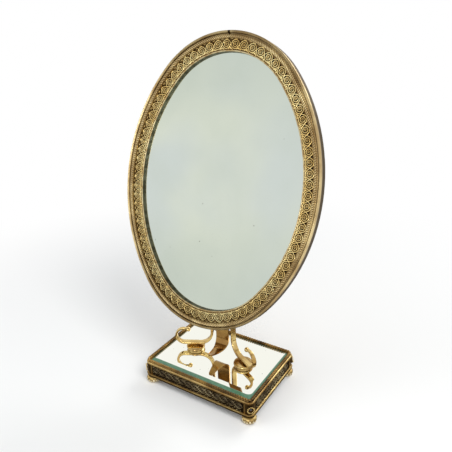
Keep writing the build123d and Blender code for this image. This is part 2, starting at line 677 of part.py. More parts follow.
def filigree_band():
    """The pierced band of running rings between the rope and the inner lip."""
    middle = O_FILIGREE + FILIGREE_WIDTH / 2
    pitch = oval_length(middle) / MOTIF_COUNT
    holes = motif_holes(pitch)
    band = oval_face(O_FILIGREE) - oval_face(O_BEZEL)
    band -= [oval_place(middle, step * pitch) * hole for step in range(MOTIF_COUNT) for hole in holes]
    return extrude(Plane.XY.offset(N_FLANGE) * band, FILIGREE_THICKNESS)


def inner_bezel():
    """The inner lip and the wall of the recess, with the flange that carries the filigree."""
    shoulder = N_LIP - BEZEL_WIDTH / 2
    flange = -O_BEZEL + FLANGE_WIDTH
    flange_back = N_FLANGE - FLANGE_THICKNESS
    with BuildSketch(Plane.XZ) as section:
        with BuildLine():
            Polyline((-O_BEZEL, shoulder), (-O_BEZEL, N_FLANGE), (flange, N_FLANGE), (flange, flange_back))
            Polyline((flange, flange_back), (-O_BEZEL, flange_back), (-O_BEZEL, N_GLASS), (-O_LIP, N_GLASS))
            Line((-O_LIP, N_GLASS), (-O_LIP, shoulder))
            ThreePointArc((-O_LIP, shoulder), (-(O_LIP + O_BEZEL) / 2, N_LIP), (-O_BEZEL, shoulder))
        make_face()
    return oval_ring(section.sketch)


def mirror_glass():
    return oval_plate(O_GLASS, N_BOARD, GLASS_THICKNESS)


def backing_board():
    return oval_plate(O_BACK, N_SHEET, BOARD_THICKNESS)


def bracket_rivet_points():
    """The four rivets at the corners of the bracket, which is centred on the pivot."""
    x = BRACKET_WIDTH / 2 - RIVET_HEAD
    y = BRACKET_HEIGHT / 2 - RIVET_HEAD
    return [(sx * x, sy * y - HEAD_RISE) for sx in (-1, 1) for sy in (-1, 1)]


def back_plate():
    """The pressed sheet that closes the back, with its middle raised and hollow behind."""
    sheet = oval_plate(O_BACK, N_BACK, BACK_SHEET)
    panel = oval_plate(BACK_PANEL_MARGIN, N_PANEL, BACK_PANEL_HEIGHT)
    panel = fillet(panel.faces().sort_by(Axis.Z)[0].edges(), BACK_PANEL_HEIGHT * 0.8)
    hollow = oval_plate(BACK_PANEL_MARGIN + BACK_SHEET, N_PANEL + BACK_SHEET, BACK_PANEL_HEIGHT)
    return sheet + panel - hollow - drill(RIVET_DIAMETER / 2 + BOLT_FIT, bracket_rivet_points(), N_PANEL, N_SHEET)


def retaining_tabs():
    """Tabs soldered to the frame's back edge and bent in over the back plate."""
    tab = Pos(-TAB_LENGTH / 2, 0, N_BACK - TAB_THICKNESS / 2) * Box(TAB_LENGTH, TAB_WIDTH, TAB_THICKNESS)
    edge = BEAD_WALL_INSET + BACK_CLEARANCE
    pitch = oval_length(edge) / TAB_COUNT
    return Compound(children=[oval_place(edge, (step + 0.5) * pitch) * tab for step in range(TAB_COUNT)])


def hinge_bracket():
    """The plate riveted to the back, with the two ears that hold the bolt."""
    plate = Pos(0, -HEAD_RISE, N_BRACKET + BRACKET_PLATE / 2) * Box(BRACKET_WIDTH, BRACKET_HEIGHT, BRACKET_PLATE)
    plate = fillet(plate.edges().filter_by(Axis.Z), RIVET_HEAD)
    radius = EYE_DIAMETER / 2
    foot_half = BRACKET_HEIGHT * 0.36
    from_left = Plane(origin=(EAR_INSIDE, -HEAD_RISE, 0), x_dir=(0, 1, 0), z_dir=(1, 0, 0))
    root = N_BRACKET + BRACKET_PLATE / 2
    web = Polygon((-radius, N_PIVOT), (radius, N_PIVOT), (foot_half, root), (-foot_half, root), align=None)
    ear = extrude(from_left * (web + Pos(0, N_PIVOT) * Circle(radius)), EAR_THICKNESS)
    bore = along_pivot(-EAR_OUTSIDE, 2 * EAR_OUTSIDE, Circle(BORE_RADIUS))
    holes = drill(RIVET_DIAMETER / 2 + BOLT_FIT, bracket_rivet_points(), N_BRACKET, N_PANEL)
    return plate + ear + mirror(ear, Plane.YZ) - bore - holes


def bracket_rivets():
    """Four rivets that hold the bracket to the back plate."""
    grip = BRACKET_PLATE + BACK_SHEET
    shank = extrude(Circle(RIVET_DIAMETER / 2), grip)
    tail = Pos(0, 0, grip) * extrude(Circle(RIVET_HEAD / 2), BACK_PANEL_HEIGHT * 0.6)
    rivet = shank + tail + Rot(180, 0, 0) * domed_head()
    return Compound(children=[Pos(x, y, N_BRACKET) * rivet for x, y in bracket_rivet_points()])


def along_pivot(start, length, shape):
    """A flat shape set across the hinge line at start and drawn out along it."""
    return Pos(start, -HEAD_RISE, N_PIVOT) * Rot(0, 90, 0) * extrude(shape, length)


def hinge_bolt():
    """The bolt through both ears and the strap's eye, with a slotted round head."""
    length = 2 * EAR_OUTSIDE + THUMB_NUT_HEIGHT + BOLT_SPARE
    shank = along_pivot(-EAR_OUTSIDE, length, Circle(BOLT_DIAMETER / 2))
    head = along_pivot(-EAR_OUTSIDE - BOLT_HEAD_HEIGHT, BOLT_HEAD_HEIGHT, Circle(BOLT_HEAD_DIAMETER / 2))
    head = fillet(head.edges().sort_by(Axis.X)[0], BOLT_HEAD_HEIGHT * 0.5)
    slot = Pos(-EAR_OUTSIDE - BOLT_HEAD_HEIGHT, -HEAD_RISE, N_PIVOT) * Box(2.0, BOLT_HEAD_DIAMETER, 1.2)
    return shank + head - slot


def friction_washers():
    ring = Circle(FRICTION_WASHER_DIAMETER / 2) - Circle(BORE_RADIUS)
    right = along_pivot(EAR_INSIDE - FRICTION_WASHER_THICKNESS, FRICTION_WASHER_THICKNESS, ring)
    left = along_pivot(-EAR_INSIDE, FRICTION_WASHER_THICKNESS, ring)
    return Compound(children=[left, right])


def thumb_nut():
    """The fluted nut that sets how stiffly the mirror tilts."""
    start = EAR_OUTSIDE + BOLT_FIT
    radius = THUMB_NUT_DIAMETER / 2
    bore = Circle(BORE_RADIUS)
    blank = Circle(radius) - bore
    for step in range(THUMB_NUT_FLUTES):
        blank -= Rot(0, 0, step * 360 / THUMB_NUT_FLUTES) * Pos(radius + 0.3, 0) * Circle(radius * 0.15)
    neck = along_pivot(start, THUMB_NUT_NECK, Circle(radius * 0.7) - bore)
    return neck + along_pivot(start + THUMB_NUT_NECK, THUMB_NUT_HEIGHT - THUMB_NUT_NECK, blank)


def base_pieces():
    found = {"foot_" + name: foot(x, y) for name, (x, y) in corner_points(FOOT_INSET).items()}
    found["foot_screws"] = foot_screws()
    found["base_floor_plate"] = base_floor_plate()
    found["base_core"] = base_core()
    found["base_bottom_moulding"] = base_bottom_moulding()
    found.update(gallery_panels())
    for name in corner_points(0):
        found["corner_post_" + name] = corner_post(name)
    found["corner_rosettes"] = Compound(children=[corner_rosette(name) for name in corner_points(0)])
    found["corner_jewels"] = Compound(children=[corner_jewel(name) for name in corner_points(0)])
    found["base_top_rim"] = base_top_rim()
    found["base_rope"] = base_rope_tube(BASE_ROPE_DIAMETER / 2)
    found["glass_bed"] = glass_bed()
    found["base_glass"] = base_glass()
    return found


def stand_pieces():
    found = {}
    for name, side in SIDES.items():
        found["boss_" + name] = boss(side)
        found["scroll_leg_" + name] = scroll_leg(side)
        found["scroll_ball_" + name] = scroll_ball(side)
    found["leg_studs"] = leg_studs()
    found["leg_washers"] = leg_washers()
    found["leg_nuts"] = leg_nuts()
    found["centre_strap"] = centre_strap()
    found["stem_collar"] = stem_collar()
    found["collar_rivets"] = collar_rivets()
    return found


def head_pieces():
    """The pieces of the mirror head, carried from the flat drawing to their place at rest."""
    makers = [rim_frame, rope_ring, filigree_band, inner_bezel, mirror_glass, backing_board, back_plate]
    makers += [retaining_tabs, hinge_bracket, bracket_rivets, hinge_bolt, friction_washers, thumb_nut]
    return {make.__name__: HEAD_PLACE * make() for make in makers}


os.makedirs("parts", exist_ok=True)
for node, solid in {**base_pieces(), **stand_pieces(), **head_pieces()}.items():
    export_step(solid, os.path.join("parts", node + ".step"))
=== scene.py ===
import json
import math
from typing import NamedTuple

import bmesh
import bpy
from bpy.props import FloatProperty, FloatVectorProperty, IntProperty, PointerProperty
from mathutils import Matrix, Vector


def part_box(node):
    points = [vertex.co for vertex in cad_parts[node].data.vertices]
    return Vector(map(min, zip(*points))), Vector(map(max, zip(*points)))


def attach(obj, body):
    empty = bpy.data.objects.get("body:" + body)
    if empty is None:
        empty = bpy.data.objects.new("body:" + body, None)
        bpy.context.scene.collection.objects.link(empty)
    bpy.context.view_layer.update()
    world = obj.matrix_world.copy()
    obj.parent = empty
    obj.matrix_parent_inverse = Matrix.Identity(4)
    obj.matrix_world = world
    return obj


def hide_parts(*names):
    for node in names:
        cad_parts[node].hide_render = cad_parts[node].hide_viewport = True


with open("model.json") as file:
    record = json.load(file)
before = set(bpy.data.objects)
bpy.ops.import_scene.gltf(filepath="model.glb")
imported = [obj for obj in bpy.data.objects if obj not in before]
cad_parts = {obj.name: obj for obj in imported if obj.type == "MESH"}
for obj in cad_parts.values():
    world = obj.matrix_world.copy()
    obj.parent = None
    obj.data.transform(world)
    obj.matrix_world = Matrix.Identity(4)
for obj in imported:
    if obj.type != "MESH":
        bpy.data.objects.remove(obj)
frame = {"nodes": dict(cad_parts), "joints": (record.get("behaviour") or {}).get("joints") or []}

bl_info = {
    "name": "Tilting table mirror",
    "version": (1, 0, 0),
    "blender": (4, 5, 0),
    "location": "3D View > Sidebar > Mirror",
    "description": "Dresses the packed table mirror with its ornaments and finishes",
    "category": "Object",
}

MM = 0.001
RIM_LOW, RIM_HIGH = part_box("rim_frame")
BASE_LOW, BASE_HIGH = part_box("base_bottom_moulding")
GALLERY_LOW, GALLERY_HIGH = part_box("gallery_front")
_, SIDE_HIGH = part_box("gallery_right")
GLASS_LOW, GLASS_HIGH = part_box("base_glass")
ROPE_LOW, ROPE_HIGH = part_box("base_rope")
TILT_JOINT = next(joint for joint in frame["joints"] if joint["name"] == "mirror_tilt")
PIVOT = Vector(TILT_JOINT["pos_m"])
BASE_CORNER = 8 * MM
CORNERS = [end + "_" + side for end in ("front", "rear") for side in ("left", "right")]
WHITE = (1.0, 1.0, 1.0, 1.0)


def srgb(red, green, blue):
    """A colour read off a screen, 0 to 255, as the linear colour that a shader takes."""
    def channel(value):
        share = value / 255
        return share / 12.92 if share <= 0.04045 else ((share + 0.055) / 1.055) ** 2.4
    return channel(red), channel(green), channel(blue), 1.0


def length(name, description, default):
    return FloatProperty(
        name=name, description=description, default=default, min=0, subtype="DISTANCE", unit="LENGTH")


def angle(name, description, degrees):
    return FloatProperty(
        name=name, description=description, default=math.radians(degrees), subtype="ANGLE", unit="ROTATION")


def number(name, description, default):
    return IntProperty(name=name, description=description, default=default, min=1)


def colour(name, description, default):
    return FloatVectorProperty(
        name=name, description=description, default=default, size=4, min=0, max=1, subtype="COLOR")


class HeadSizes(bpy.types.PropertyGroup):
    """The oval head: its outline, its depths behind the crest of the bead, and its ornament."""
    width: length("Width", "Width of the oval frame", RIM_HIGH.x - RIM_LOW.x)
    height: length("Height", "Length of the oval frame", 378 * MM)
    end_radius: length("End radius", "Radius of the oval's two ends", 119 * MM)
    rise: length("Rise", "How far the oval's middle lies above the pivot, along the head", 41.8 * MM)
    front: length("Front", "How far the bead's crest lies in front of the pivot", 24.2 * MM)
    tilt: angle("Tilt", "How far the head leans back at rest", 15)
    seat_depth: length("Seat depth", "Depth of the seat that holds the rope", 2.4 * MM)
    rope_inset: length("Rope inset", "From the frame's edge to the middle of the rope", 7.2 * MM)
    rope_count: number("Rope turns", "Number of strands seen round the frame's rope", 372)
    band_depth: length("Band depth", "Depth of the pierced band's face", 6.0 * MM)
    band_inset: length("Band inset", "From the frame's edge to the middle line of the rings", 15.75 * MM)
    band_width: length("Band width", "Width of the pierced band", 12.9 * MM)
    ring_count: number("Rings", "Number of rings in the pierced band", 76)
    ring_radius: length("Ring radius", "Radius of the line that a strand follows round a flower", 5.25 * MM)
    strand_width: length("Strand width", "Width of a strand of the running rings", 1.2 * MM)


class BaseSizes(bpy.types.PropertyGroup):
    """The base: its ropes, its dark gallery and its feet."""
    rope_count: number("Rope turns", "Number of strands seen round the base's rope", 152)
    bead_count: number("Beads", "Number of beads round each moulding", 304)
    bead_radius: length("Bead radius", "Radius of a bead of the mouldings", 0.85 * MM)
    rope_radius: length("Rope radius", "Radius of the rope round the glass", 2.5 * MM)
    post_width: length("Post width", "Width of a corner post on each side", 12 * MM)
    medallion_height: length("Medallion height", "Height of a corner's medallion over the floor", 24.6 * MM)
    medallion_reach: length("Medallion reach", "From the centre of a corner's bend to its beads", 8.5 * MM)
    medallion_radius: length("Medallion radius", "Radius of the ring of beads round a medallion", 4.4 * MM)
    medallion_beads: number("Medallion beads", "Number of beads round a medallion", 12)
    lobe_count: number("Lobes", "Number of lobes round a foot", 14)
    lobe_height: length("Lobe height", "Height of a lobe's middle over the floor", 4.2 * MM)
    corner_radius: length("Corner radius", "Radius of the rope's line at a corner", 4.85 * MM)
    gallery_pitch: length("Gallery pitch", "From one ring of the gallery to the next", 11.5 * MM)
    # Painted light: the bevel's green is the glass's own, but its widths, wide at the front, narrower at
    # the right and thin at the rear and left, paint it as seen from the front right.
    front_green_as_seen: length("Front tint", "Width of the green tint along the front edge of the glass", 6.4 * MM)
    side_green_as_seen: length("Side tint", "Width of the green tint along the right edge of the glass", 2.6 * MM)
    tint_corner: length("Tint corner", "Radius of the white field's front right corner", 7 * MM)
    rear_green_as_seen: length("Rear tint", "Width of the green tint along the rear and left edges", 1.2 * MM)


class Finishes(bpy.types.PropertyGroup):
    """The colours of the brass, the glass and what lies behind them."""
    brass_bright: colour("Bright brass", "Rubbed brass", srgb(232, 212, 160))
    brass_mid: colour("Brass", "Brass with its old lacquer", srgb(180, 153, 106))
    brass_tan: colour("Tan brass", "Brass with a brown cast", srgb(148, 120, 76))
    # Also the tone of the painted shade in hollows, as well as of dark patches and specks.
    brass_dark: colour("Dark brass", "Brass in a hollow", srgb(54, 39, 18))
    ground: colour("Ground", "The sunk ground of the pierced band", srgb(92, 70, 38))
    strand_bright: colour("Bright strand", "The rubbed strands of the running rings", srgb(255, 240, 180))
    strand: colour("Strand", "The strands of the running rings", srgb(240, 208, 134))
    gold_bright: colour("Bright gold", "The rubbed places of the stand and the base", srgb(232, 206, 140))
    gold: colour("Gold", "The lacquered brass of the stand and the base", srgb(176, 140, 80))
    gold_brown: colour("Brown gold", "The browned brass of the strap", srgb(144, 108, 60))
    lip: colour("Lip", "The pale lip round the mirror glass", srgb(208, 192, 150))
    # Painted shade and painted reflection: the dark grey-green wall inside the lip, and the darker spots on
    # it that stand for the reflected band.
    painted_wall_shade: colour("Lip wall", "The dark wall inside the lip", srgb(112, 110, 90))
    painted_wall_spots: colour("Lip spots", "The spots on the wall inside the lip", srgb(78, 74, 56))
    antique: colour("Antique brass", "The browned relief of the gallery", srgb(84, 66, 44))
    # Also the tone that the painted shade in the hollows of the band's ground, the gallery and the rosettes
    # darkens to.
    soot: colour("Soot", "The blackened ground of the gallery", srgb(30, 23, 16))
    silver: colour("Silvering", "The old mirror's light patches", srgb(216, 222, 206))
    silver_cool: colour("Cool silvering", "The old mirror's patches with a blue cast", srgb(206, 214, 209))
    # Also the tone of the painted reflection's dim top and bottom.
    silver_dim: colour("Dim silvering", "The old mirror's dull patches", srgb(194, 203, 191))
    plate: colour("Plate glass", "The mirrored glass of the base", srgb(246, 246, 236))
    plate_edge: colour("Glass edge", "The green of thick glass at its bevel", srgb(84, 126, 98))
    plate_streaks: colour("Glass streaks", "Dark streaks in the green of the bevel", srgb(54, 84, 60))
    # Painted highlight: the pale tones of a foot's lobes stand for the light they catch.
    lobe_highlight: colour("Bright lobe", "The rubbed places of a foot's lobes", srgb(250, 240, 208))
    lobe: colour("Lobe", "The pale brass of a foot's lobes", srgb(236, 220, 176))
    jewel_dark: colour("Dark jewel", "The corner jewels where they are darkest", srgb(30, 30, 38))
    jewel_light: colour("Light jewel", "The corner jewels where they are lightest", srgb(64, 62, 70))
    # Painted shade: the board's tones are darker than its own, so that the hollow behind the pierced band
    # reads dark.
    shaded_board_dark: colour("Dark board", "Dark fibres of the backing board", srgb(30, 23, 16))
    shaded_board_light: colour("Light board", "Light fibres of the backing board", srgb(48, 38, 28))
    leather_dark: colour("Dark leather", "Dark fibres of the friction washers", srgb(70, 44, 26))
    leather_light: colour("Light leather", "Light fibres of the friction washers", srgb(104, 70, 44))
    felt_dark: colour("Dark felt", "Dark fibres of the felt bed", srgb(58, 74, 58))
    felt_light: colour("Light felt", "Light fibres of the felt bed", srgb(84, 100, 80))
    steel_dark: colour("Dark steel", "Dark grain of the studs and screws", srgb(120, 118, 112))
    steel_light: colour("Light steel", "Light grain of the studs and screws", srgb(160, 158, 150))
    wood_dark: colour("Dark wood", "Dark rings of the wooden core", srgb(28, 20, 14))
    wood_light: colour("Light wood", "Light rings of the wooden core", srgb(46, 34, 24))


class Studio(bpy.types.PropertyGroup):
    """The camera, the floor and the light of the room."""
    lens: FloatProperty(name="Lens", description="Focal length of the camera", default=38.74, unit="CAMERA")
    eye: FloatVectorProperty(
        name="Eye", description="Place of the camera", default=(0.3350, -0.4896, 0.4742), subtype="XYZ",
        unit="LENGTH")
    azimuth: angle("Azimuth", "Turn of the camera round the object", 32.94)
    elevation: angle("Elevation", "How far the camera looks down", 21.48)
    roll: angle("Roll", "Turn of the camera about its own line", -1.66)
    floor_size: length("Floor size", "Side of the floor", 12.0)
    floor_near: length("Floor near", "From the middle to where the floor starts to turn white", 0.25)
    floor_far: length("Floor far", "From the middle to where the floor is all white", 0.9)
    floor_tone: colour("Floor tone", "Tone of the floor near the object", (0.86, 0.85, 0.83, 1.0))
    room_tone: colour("Room tone", "Tone of the light from all sides", (0.9, 0.95, 1.0, 1.0))
    room_strength: FloatProperty(
        name="Room strength", description="Strength of the light from all sides", default=0.55, min=0)
    lamp_aim: length("Lamp aim", "Height over the floor at which the lamps point", 0.25)


class Lamp(NamedTuple):
    """A square lamp: its place, its side, its power in watts, and whether polished surfaces show it."""
    name: str
    place: tuple
    side: float
    power: float
    reflected: bool = False


class Card(NamedTuple):
    """A dimly glowing square: its place, the point it faces, half its side and its tone."""
    name: str
    place: tuple
    facing: tuple
    half: float
    tone: tuple


LAMPS = (
    Lamp("key_lamp", place=(1.0, -0.5, 1.3), side=0.7, power=14.0),
    Lamp("fill_lamp", place=(-1.1, -1.0, 0.9), side=1.2, power=9.0),
    Lamp("back_lamp", place=(0.4, 1.2, 1.2), side=0.8, power=8.0, reflected=True),
    Lamp("glint_lamp", place=(0.55, -1.6, 0.35), side=0.4, power=4.0, reflected=True),
)
CARDS = (
    Card("top_card", place=(0.45, -0.4, 1.9), facing=(0.45, -0.4, 0.2), half=1.0,
         tone=(0.55, 0.52, 0.47, 1.0)),
    Card("low_card", place=(0.0, 0.0, 0.001), facing=(0.0, 0.0, 1.0), half=0.16,
         tone=(0.2, 0.17, 0.13, 1.0)),
    Card("left_card", place=(-1.185, -0.431, 1.185), facing=(0.0, 0.0, 0.2), half=0.45,
         tone=(0.5, 0.47, 0.42, 1.0)),
)


class Value:
    """A socket of a shader. Sums on it add Math nodes."""

    def __init__(self, shader, socket):
        self.shader = shader
        self.socket = socket

    def math(self, operation, *others):
        inputs = dict(enumerate((self, *others)))
        return self.shader.node("ShaderNodeMath", {"operation": operation}, inputs)

    def __add__(self, other):
        return self.math("ADD", other)

    def __sub__(self, other):
        return self.math("SUBTRACT", other)

    def __mul__(self, other):
        return self.math("MULTIPLY", other)

    def __rsub__(self, other):
        return self.shader.node("ShaderNodeMath", {"operation": "SUBTRACT"}, {0: other, 1: self})

    __radd__ = __add__
    __rmul__ = __mul__

    def size(self):
        return self.math("ABSOLUTE")

    def larger(self, other):
        return self.math("MAXIMUM", other)

    def smaller(self, other):
        return self.math("MINIMUM", other)

    def step(self, low, high):
        """0 up to low, 1 from high on, and a smooth climb between them."""
        inputs = {"Value": self, "From Min": low, "From Max": high}
        return self.shader.node("ShaderNodeMapRange", {"interpolation_type": "SMOOTHSTEP"}, inputs)


class Shader:
    """The nodes of a new material, or of a new world."""

    def __init__(self, name, kind="materials"):
        self.block = getattr(bpy.data, kind).new(name)
        self.block.use_nodes = True
        self.tree = self.block.node_tree
        self.tree.nodes.clear()

    def node(self, kind, settings=None, inputs=None, output=0):
        """A new node: its settings first, then the values or links of its sockets."""
        made = self.tree.nodes.new(kind)
        for name, value in (settings or {}).items():
            setattr(made, name, value)
        for name, value in (inputs or {}).items():
            if isinstance(value, Value):
                self.tree.links.new(value.socket, made.inputs[name])
            else:
                made.inputs[name].default_value = value
        return Value(self, made.outputs[output])

    def position(self):
        return self.node("ShaderNodeTexCoord", output="Object")

    def axes(self):
        split = self.node("ShaderNodeSeparateXYZ", inputs={0: self.position()})
        return [Value(self, socket) for socket in split.socket.node.outputs]

    def noise(self, scale, detail=2.0, rough=0.5):
        inputs = {"Vector": self.position(), "Scale": scale, "Detail": detail, "Roughness": rough}
        return self.node("ShaderNodeTexNoise", inputs=inputs)

    def cells(self, scale):
        return self.node("ShaderNodeTexVoronoi", inputs={"Vector": self.position(), "Scale": scale})

    def mix(self, share, first, second):
        """A colour between two. The Mix node takes them in sockets 6 and 7 and gives it in 2."""
        return self.node("ShaderNodeMix", {"data_type": "RGBA"}, {0: share, 6: first, 7: second}, 2)

    def crevice(self, distance):
        """1 in a hollow of the piece and 0 on an open face."""
        settings = {"samples": 6, "only_local": True}
        return 1 - self.node("ShaderNodeAmbientOcclusion", settings, {"Distance": distance}, "AO")

    def ray(self, kind):
        """1 for a ray of this kind and 0 for any other."""
        return self.node("ShaderNodeLightPath", output=kind)

    def bump(self, height, distance, strength=1.0):
        inputs = {"Height": height, "Distance": distance, "Strength": strength}
        return self.node("ShaderNodeBump", inputs=inputs)

    def finish(self, **inputs):
        """The surface itself, from the principled shader's sockets with underscores for spaces."""
        named = {name.replace("_", " "): value for name, value in inputs.items()}
        return self.give(self.node("ShaderNodeBsdfPrincipled", inputs=named))

    def give(self, surface, kind="ShaderNodeOutputMaterial"):
        """Ends the nodes with this surface, and gives the material or world."""
        output = self.tree.nodes.new(kind)
        self.tree.links.new(surface.socket, output.inputs["Surface"])
        return self.block


def head_depth(shader):
    """How far a point of the head lies in front of the bead's crest, along the head's own axis."""
    place = place_in_head()
    away = shader.node(
        "ShaderNodeVectorMath", {"operation": "SUBTRACT"}, {0: shader.position(), 1: place.translation})
    facing = place.to_3x3() @ Vector((0, 0, 1))
    return shader.node("ShaderNodeVectorMath", {"operation": "DOT_PRODUCT"}, {0: away, 1: facing}, "Value")


def aged_brass(
        name, bright, body, dark=None, rough=0.26, hollow=1.2 * MM, hollow_shade=0.8, wear=0.35, dents=0.3,
        metal=1.0, extra=None):
    """Lacquered brass: cloudy between two tones, with dark patches, and with painted shade in its hollows.

    rough is the roughness of a clean place, hollow how wide a hollow may be, hollow_shade how dark the
    painted shade in it gets, wear how dark the patches get, dents how strong the dents are, metal how
    metallic the surface is, and extra a function that gives the mask of further dark places.
    """
    if dark is None:
        dark = bpy.context.scene.finishes.brass_dark
    shader = Shader(name)
    cloud = shader.noise(scale=38, detail=3)
    patches = shader.noise(scale=120, detail=3, rough=0.6)
    tone = shader.mix(cloud.step(0.3, 0.74), body, bright)
    tone = shader.mix(patches.step(0.55, 0.78) * wear, tone, dark)
    # Painted shade: an ambient occlusion mask darkens the hollows towards the dark tone, joined by the
    # extra mask.
    hollows = shader.crevice(hollow).step(0.12, 0.85) * hollow_shade
    if extra:
        hollows = hollows.larger(extra(shader))
    tone = shader.mix(hollows, tone, dark)
    return shader.finish(
        Base_Color=tone, Metallic=metal, Roughness=rough + patches * 0.12 + hollows * 0.25,
        Normal=shader.bump(patches, distance=0.05 * MM, strength=dents))


def place_in_head():
    """From the flat drawing of the oval, X right, Y up and Z to the front, to the head at rest."""
    sizes = bpy.context.scene.head_sizes
    lean = rotate(math.radians(90) - sizes.tilt, "X")
    return Matrix.Translation(PIVOT) @ lean @ shift(0, sizes.rise, sizes.front)


def oval_stations(inset, count):
    """Places spaced evenly round the oval: X points outwards, Y runs along and Z faces the front."""
    sizes = bpy.context.scene.head_sizes
    half_width = sizes.width / 2
    end_offset = sizes.height / 2 - sizes.end_radius
    reach = half_width - sizes.end_radius
    side_offset = (end_offset ** 2 - reach ** 2) / (2 * reach)
    side_radius = half_width + side_offset
    join = math.atan2(end_offset, side_offset)
    arcs = []
    for turn in (0, math.pi):
        side_centre = Vector((-side_offset * math.cos(turn), 0, 0))
        end_centre = Vector((0, end_offset * math.cos(turn), 0))
        arcs.append((side_centre, side_radius - inset, turn - join, 2 * join))
        arcs.append((end_centre, sizes.end_radius - inset, turn + join, math.pi - 2 * join))
    total = sum(radius * sweep for _, radius, _, sweep in arcs)
    return [arc_station(arcs, total * index / count) for index in range(count)]


def rounded_box_stations(half_x, half_y, corner, count):
    """Places spaced evenly round a rectangle with round corners, laid out as in oval_stations.

    A straight run has no radius, and its length stands in the place of an arc's sweep.
    """
    arcs = []
    for quarter in range(4):
        reach, run = (half_x, half_y) if quarter % 2 == 0 else (half_y, half_x)
        run -= corner
        heading = quarter * math.pi / 2
        turn = rotate(heading)
        arcs.append((turn @ Vector((reach, -run, 0)), None, heading, 2 * run))
        arcs.append((turn @ Vector((reach - corner, run, 0)), corner, heading, math.pi / 2))
    total = sum(sweep if radius is None else radius * sweep for _, radius, _, sweep in arcs)
    return [arc_station(arcs, total * index / count) for index in range(count)]


def arc_station(arcs, distance):
    """The place at one distance along a chain of arcs and straight runs."""
    for centre, radius, start, sweep in arcs:
        run = sweep if radius is None else radius * sweep
        if distance <= run:
            break
        distance -= run
    if radius is None:
        turn = rotate(start)
        return Matrix.Translation(centre + turn @ Vector((0, distance, 0))) @ turn
    turn = rotate(start + distance / radius)
    return Matrix.Translation(centre) @ turn @ shift(radius, 0, 0)


def shift(x, y, z):
    return Matrix.Translation((x, y, z))


def rotate(turn, axis="Z"):
    return Matrix.Rotation(turn, 4, axis)


def stretch(x, y, z):
    return Matrix.Diagonal((x, y, z, 1))


def share_of_turn(index, count):
    """A turn about Z by this many of count equal shares."""
    return rotate(2 * math.pi * index / count)


def add_ball(bm, radius, place, rings=4, segments=6):
    bmesh.ops.create_uvsphere(bm, u_segments=segments, v_segments=rings, radius=radius, matrix=place)


def add_ring(bm, radius, tube, segments, sides, start=0.0, sweep=2 * math.pi):
    """A round wire bent to an arc or a full ring about Z. Gives its first and last vertices too."""
    outwards = rotate(start) @ shift(radius, 0, 0)
    section = outwards @ rotate(math.pi / 2, "X")
    circle = bmesh.ops.create_circle(bm, segments=sides, radius=tube, matrix=section)
    full = abs(sweep - 2 * math.pi) < 1e-6
    edges = list({edge for vert in circle["verts"] for edge in vert.link_edges})
    made = bmesh.ops.spin(
        bm, geom=circle["verts"] + edges, cent=(0, 0, 0), axis=(0, 0, 1), angle=sweep, steps=segments,
        use_merge=full)
    return circle["verts"], vertices_of(made["geom_last"])


def vertices_of(geometry):
    return [item for item in geometry if isinstance(item, bmesh.types.BMVert)]


def move(bm, first, place):
    """Carries every vertex made since first to a place."""
    bm.verts.ensure_lookup_table()
    bmesh.ops.transform(bm, matrix=place, verts=bm.verts[first:])


def template(build):
    """The mesh of one repeat, cleaned so that its faces point outwards."""
    bm = bmesh.new()
    build(bm)
    bmesh.ops.remove_doubles(bm, verts=bm.verts, dist=0.001 * MM)
    bmesh.ops.recalc_face_normals(bm, faces=bm.faces)
    mesh = bpy.data.meshes.new("repeat")
    bm.to_mesh(mesh)
    bm.free()
    return mesh


def bead(radius):
    return template(lambda bm: add_ball(bm, radius, Matrix()))


def repeat(name, mesh, places, material, body):
    """One object that holds the repeat at every place."""
    bm = bmesh.new()
    for place in places:
        first = len(bm.verts)
        bm.from_mesh(mesh)
        move(bm, first, place)
    made = bpy.data.meshes.new(name)
    bm.to_mesh(made)
    bm.free()
    made.shade_smooth()
    piece = bpy.data.objects.new(name, made)
    bpy.context.scene.collection.objects.link(piece)
    piece.data.materials.append(material)
    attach(piece, body)
    return piece


def dress(material, *nodes):
    """Gives these CAD nodes one material."""
    for node in nodes:
        mesh = frame["nodes"][node].data
        mesh.materials.clear()
        mesh.materials.append(material)


def rope_strand(across, along, height, slant, drop=0.0):
    """One strand of a rope as it lies on the round: a long bead, X across the rope and Y along it.

    slant is how far it runs along for each length across, and drop how far it runs back for each length up.
    """
    def build(bm):
        lean = Matrix.Identity(4)
        lean[1][0] = slant
        lean[1][2] = -drop
        add_ball(bm, 1, lean @ stretch(across, along, height), rings=6, segments=8)
    return template(build)


def fibrous(name, dark, light, scale, rough, relief):
    """A dull stuff of fine fibres: board, leather or felt."""
    shader = Shader(name)
    fibre = shader.noise(scale, detail=3)
    return shader.finish(
        Base_Color=shader.mix(fibre, dark, light), Roughness=rough, Normal=shader.bump(fibre, relief))


